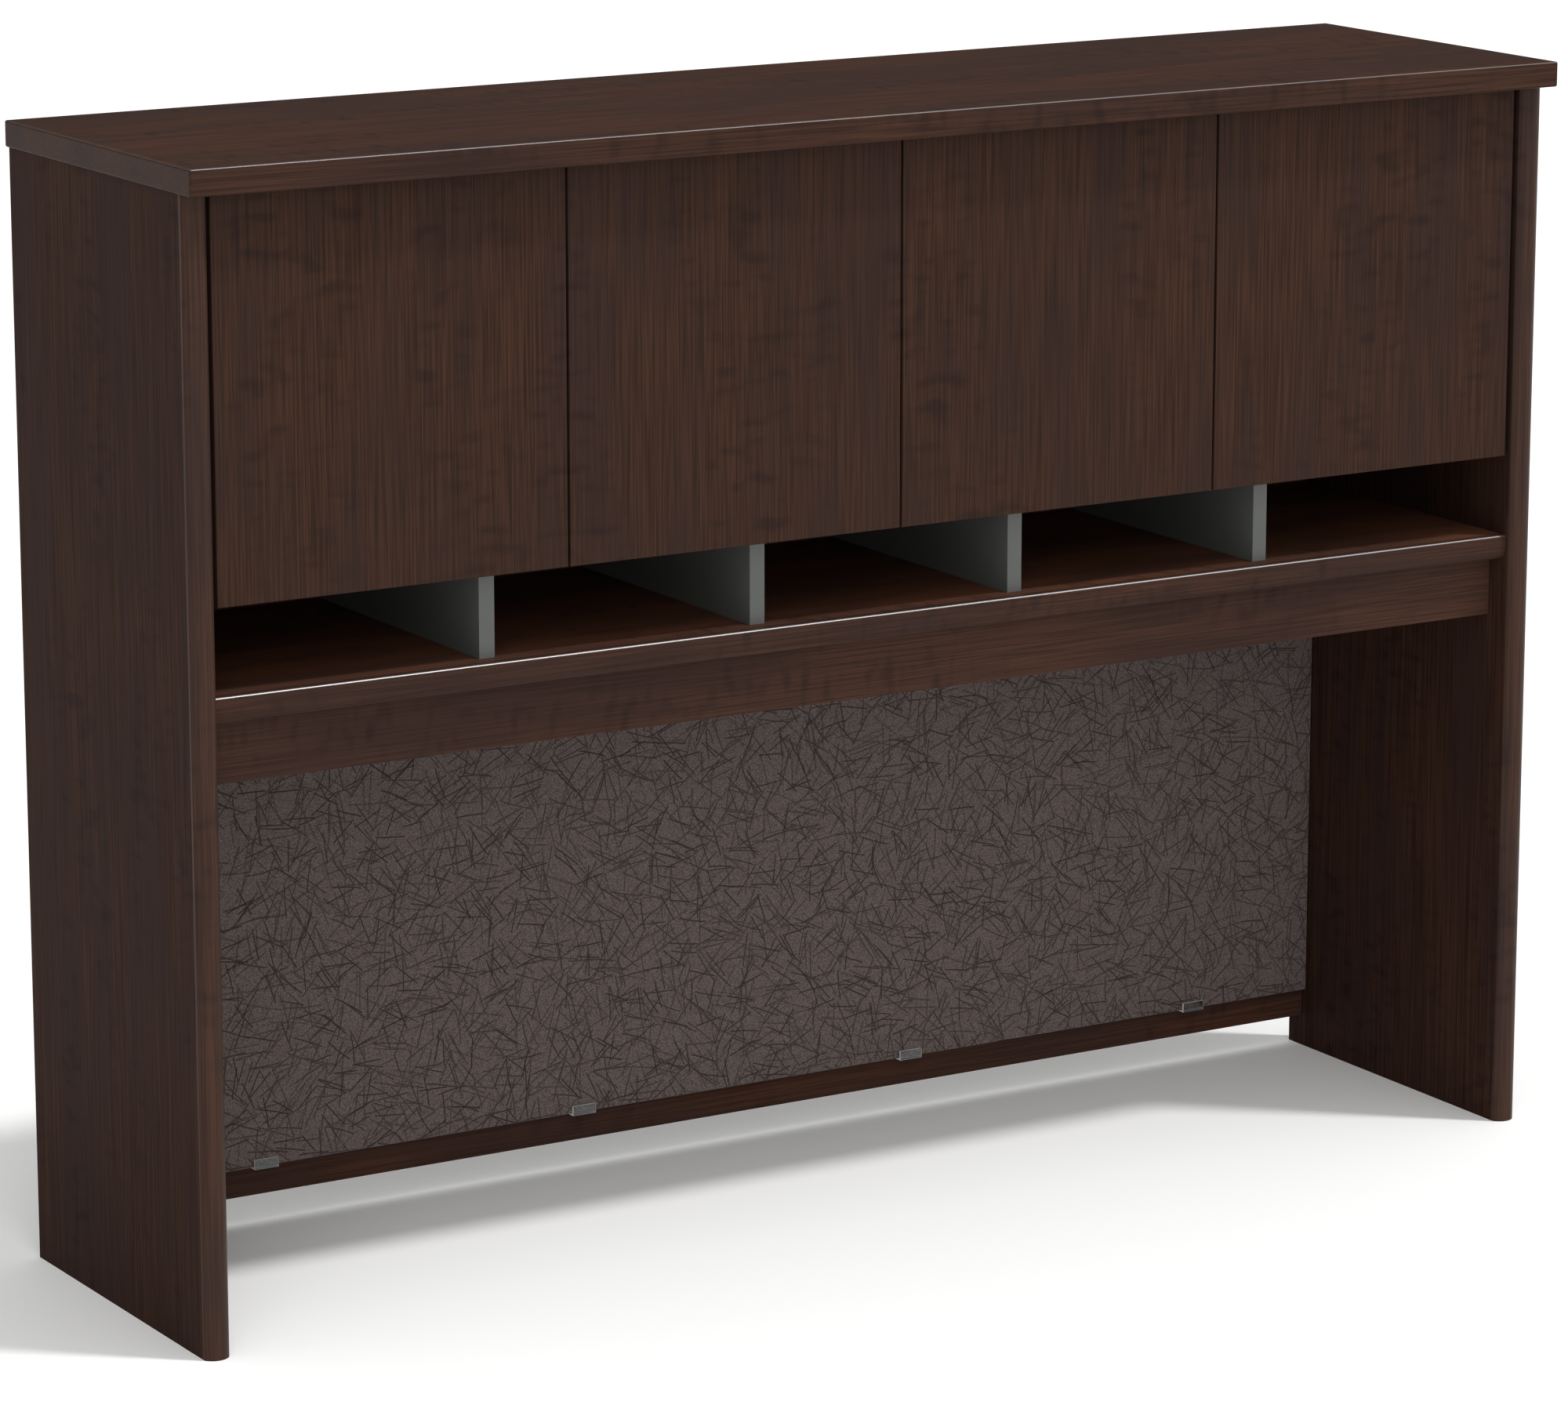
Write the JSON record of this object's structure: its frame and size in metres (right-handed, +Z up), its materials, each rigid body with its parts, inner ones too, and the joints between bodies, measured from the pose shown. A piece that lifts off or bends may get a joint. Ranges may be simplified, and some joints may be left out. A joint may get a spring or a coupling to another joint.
{
  "type": "desk hutch",
  "caption": "Desk hutch with closed compartments behind hinged doors, an open divided shelf and a fabric tackboard above the desk space.",
  "frame": {"origin": "centre of the width and of the top panel's depth, on the surface that the hutch stands on", "axes": "+Z up, +X along the width to the viewer's right when facing the doors, +Y to the back"},
  "size_m": [1.5, 0.39, 1.095],
  "materials": {
    "cherry_laminate": "satin",
    "wood_edge": "satin",
    "wood_moulding": "semi-gloss",
    "grey_laminate": "matte",
    "back_sheet": "matte",
    "fibreboard": "matte",
    "tack_fabric": "woven",
    "clear_plastic": "clear",
    "zinc_steel": "zinc plated",
    "brass": "machined",
    "beech": "raw"
  },
  "bodies": {
    "carcass": {"arm_screws": "zinc_steel", "back_panel_screws": "zinc_steel", "cam_bolts": "zinc_steel", "cam_housings": "zinc_steel", "centre_partition": "cherry_laminate", "clip_screws": "zinc_steel", "compartment_edge_bands": "wood_edge", "compartment_floor": "cherry_laminate", "cubby_divider_1": "grey_laminate", "cubby_divider_2": "grey_laminate", "cubby_divider_3": "grey_laminate", "cubby_divider_4": "grey_laminate", "cubby_shelf": "cherry_laminate", "divider_edge_bands": "grey_laminate", "door_bumpers": "clear_plastic", "dowels": "beech", "foot_inserts": "brass", "hinge_arms_1": "zinc_steel", "hinge_arms_2": "zinc_steel", "hinge_arms_3": "zinc_steel", "hinge_arms_4": "zinc_steel", "hinge_pins": "zinc_steel", "hinge_plates": "zinc_steel", "left_front_edge": "wood_moulding", "left_side_panel": "cherry_laminate", "lower_back_board": "cherry_laminate", "plate_screws": "zinc_steel", "right_front_edge": "wood_moulding", "right_side_panel": "cherry_laminate", "shelf_front_edge": "wood_moulding", "tackboard_clips": "clear_plastic", "tackboard_core": "fibreboard", "tackboard_fabric": "tack_fabric", "top_edge_bands": "wood_edge", "top_panel": "cherry_laminate", "upper_back_panel": "back_sheet", "valance_edge_band": "wood_edge", "valance_rail": "cherry_laminate"},
    "door_1": {"door_1": "cherry_laminate", "door_1_edge_bands": "wood_edge", "hinge_cups_1": "zinc_steel", "cup_screws_1": "zinc_steel"},
    "link_1": {"hinge_links_1": "zinc_steel"},
    "door_2": {"door_2": "cherry_laminate", "door_2_edge_bands": "wood_edge", "hinge_cups_2": "zinc_steel", "cup_screws_2": "zinc_steel"},
    "link_2": {"hinge_links_2": "zinc_steel"},
    "door_3": {"door_3": "cherry_laminate", "door_3_edge_bands": "wood_edge", "hinge_cups_3": "zinc_steel", "cup_screws_3": "zinc_steel"},
    "link_3": {"hinge_links_3": "zinc_steel"},
    "door_4": {"door_4": "cherry_laminate", "door_4_edge_bands": "wood_edge", "hinge_cups_4": "zinc_steel", "cup_screws_4": "zinc_steel"},
    "link_4": {"hinge_links_4": "zinc_steel"}
  },
  "joints": [
    {"name": "door_1_hinge", "type": "hinge", "parent": "carcass", "child": "door_1", "pos_m": [-0.713, -0.164, 0.882], "axis": [0, 0, -1], "range_deg": [0, 100]},
    {"name": "link_1_pivot", "type": "hinge", "parent": "carcass", "child": "link_1", "pos_m": [-0.709, -0.145, 0.882], "axis": [0, 0, -1], "range_deg": [0, 67.5]},
    {"name": "door_2_hinge", "type": "hinge", "parent": "carcass", "child": "door_2", "pos_m": [-0.00625, -0.164, 0.882], "axis": [0, 0, 1], "range_deg": [0, 90]},
    {"name": "link_2_pivot", "type": "hinge", "parent": "carcass", "child": "link_2", "pos_m": [-0.01025, -0.145, 0.882], "axis": [0, 0, 1], "range_deg": [0, 60.8]},
    {"name": "door_3_hinge", "type": "hinge", "parent": "carcass", "child": "door_3", "pos_m": [0.00625, -0.164, 0.882], "axis": [0, 0, -1], "range_deg": [0, 90]},
    {"name": "link_3_pivot", "type": "hinge", "parent": "carcass", "child": "link_3", "pos_m": [0.01025, -0.145, 0.882], "axis": [0, 0, -1], "range_deg": [0, 60.8]},
    {"name": "door_4_hinge", "type": "hinge", "parent": "carcass", "child": "door_4", "pos_m": [0.713, -0.164, 0.882], "axis": [0, 0, 1], "range_deg": [0, 100]},
    {"name": "link_4_pivot", "type": "hinge", "parent": "carcass", "child": "link_4", "pos_m": [0.709, -0.145, 0.882], "axis": [0, 0, 1], "range_deg": [0, 67.5]}
  ],
  "couplings": [
    {"joint": "link_1_pivot", "follows": "door_1_hinge", "ratio": 0.67},
    {"joint": "link_2_pivot", "follows": "door_2_hinge", "ratio": 0.67},
    {"joint": "link_3_pivot", "follows": "door_3_hinge", "ratio": 0.67},
    {"joint": "link_4_pivot", "follows": "door_4_hinge", "ratio": 0.67}
  ]
}
